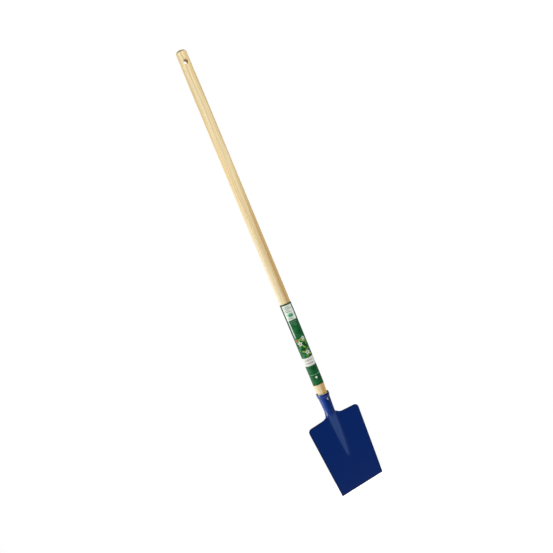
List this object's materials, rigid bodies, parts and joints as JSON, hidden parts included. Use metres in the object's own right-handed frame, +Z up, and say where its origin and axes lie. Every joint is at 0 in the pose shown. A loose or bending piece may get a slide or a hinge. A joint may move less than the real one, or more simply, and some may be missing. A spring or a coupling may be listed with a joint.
{
  "type": "spade",
  "caption": "Child's garden spade: a small flat pressed steel blade with a rolled socket, on a long straight round wooden handle with a hanging hole and a printed label sleeve.",
  "frame": {"origin": "the middle of the hanging hole, on the handle's axis: the hook or nail that the spade hangs on goes through it, and the cutting edge is 957.5 mm below it", "axes": "+Z up the handle towards the grip end, -Y out of the front of the blade, +X across the blade to the right of someone who looks at its front"},
  "size_m": [0.1334, 0.0281, 0.985],
  "materials": {
    "blue_enamel": "satin gloss dark blue stoving enamel on steel sheet",
    "light_wood": "smooth turned light wood, thinly sealed",
    "printed_film": "thin printed film, satin",
    "bright_steel": "bright plated steel"
  },
  "bodies": {
    "root": {"blade_head": "blue_enamel", "handle": "light_wood", "label_sleeve": "printed_film", "socket_nail": "bright_steel"}
  },
  "joints": []
}
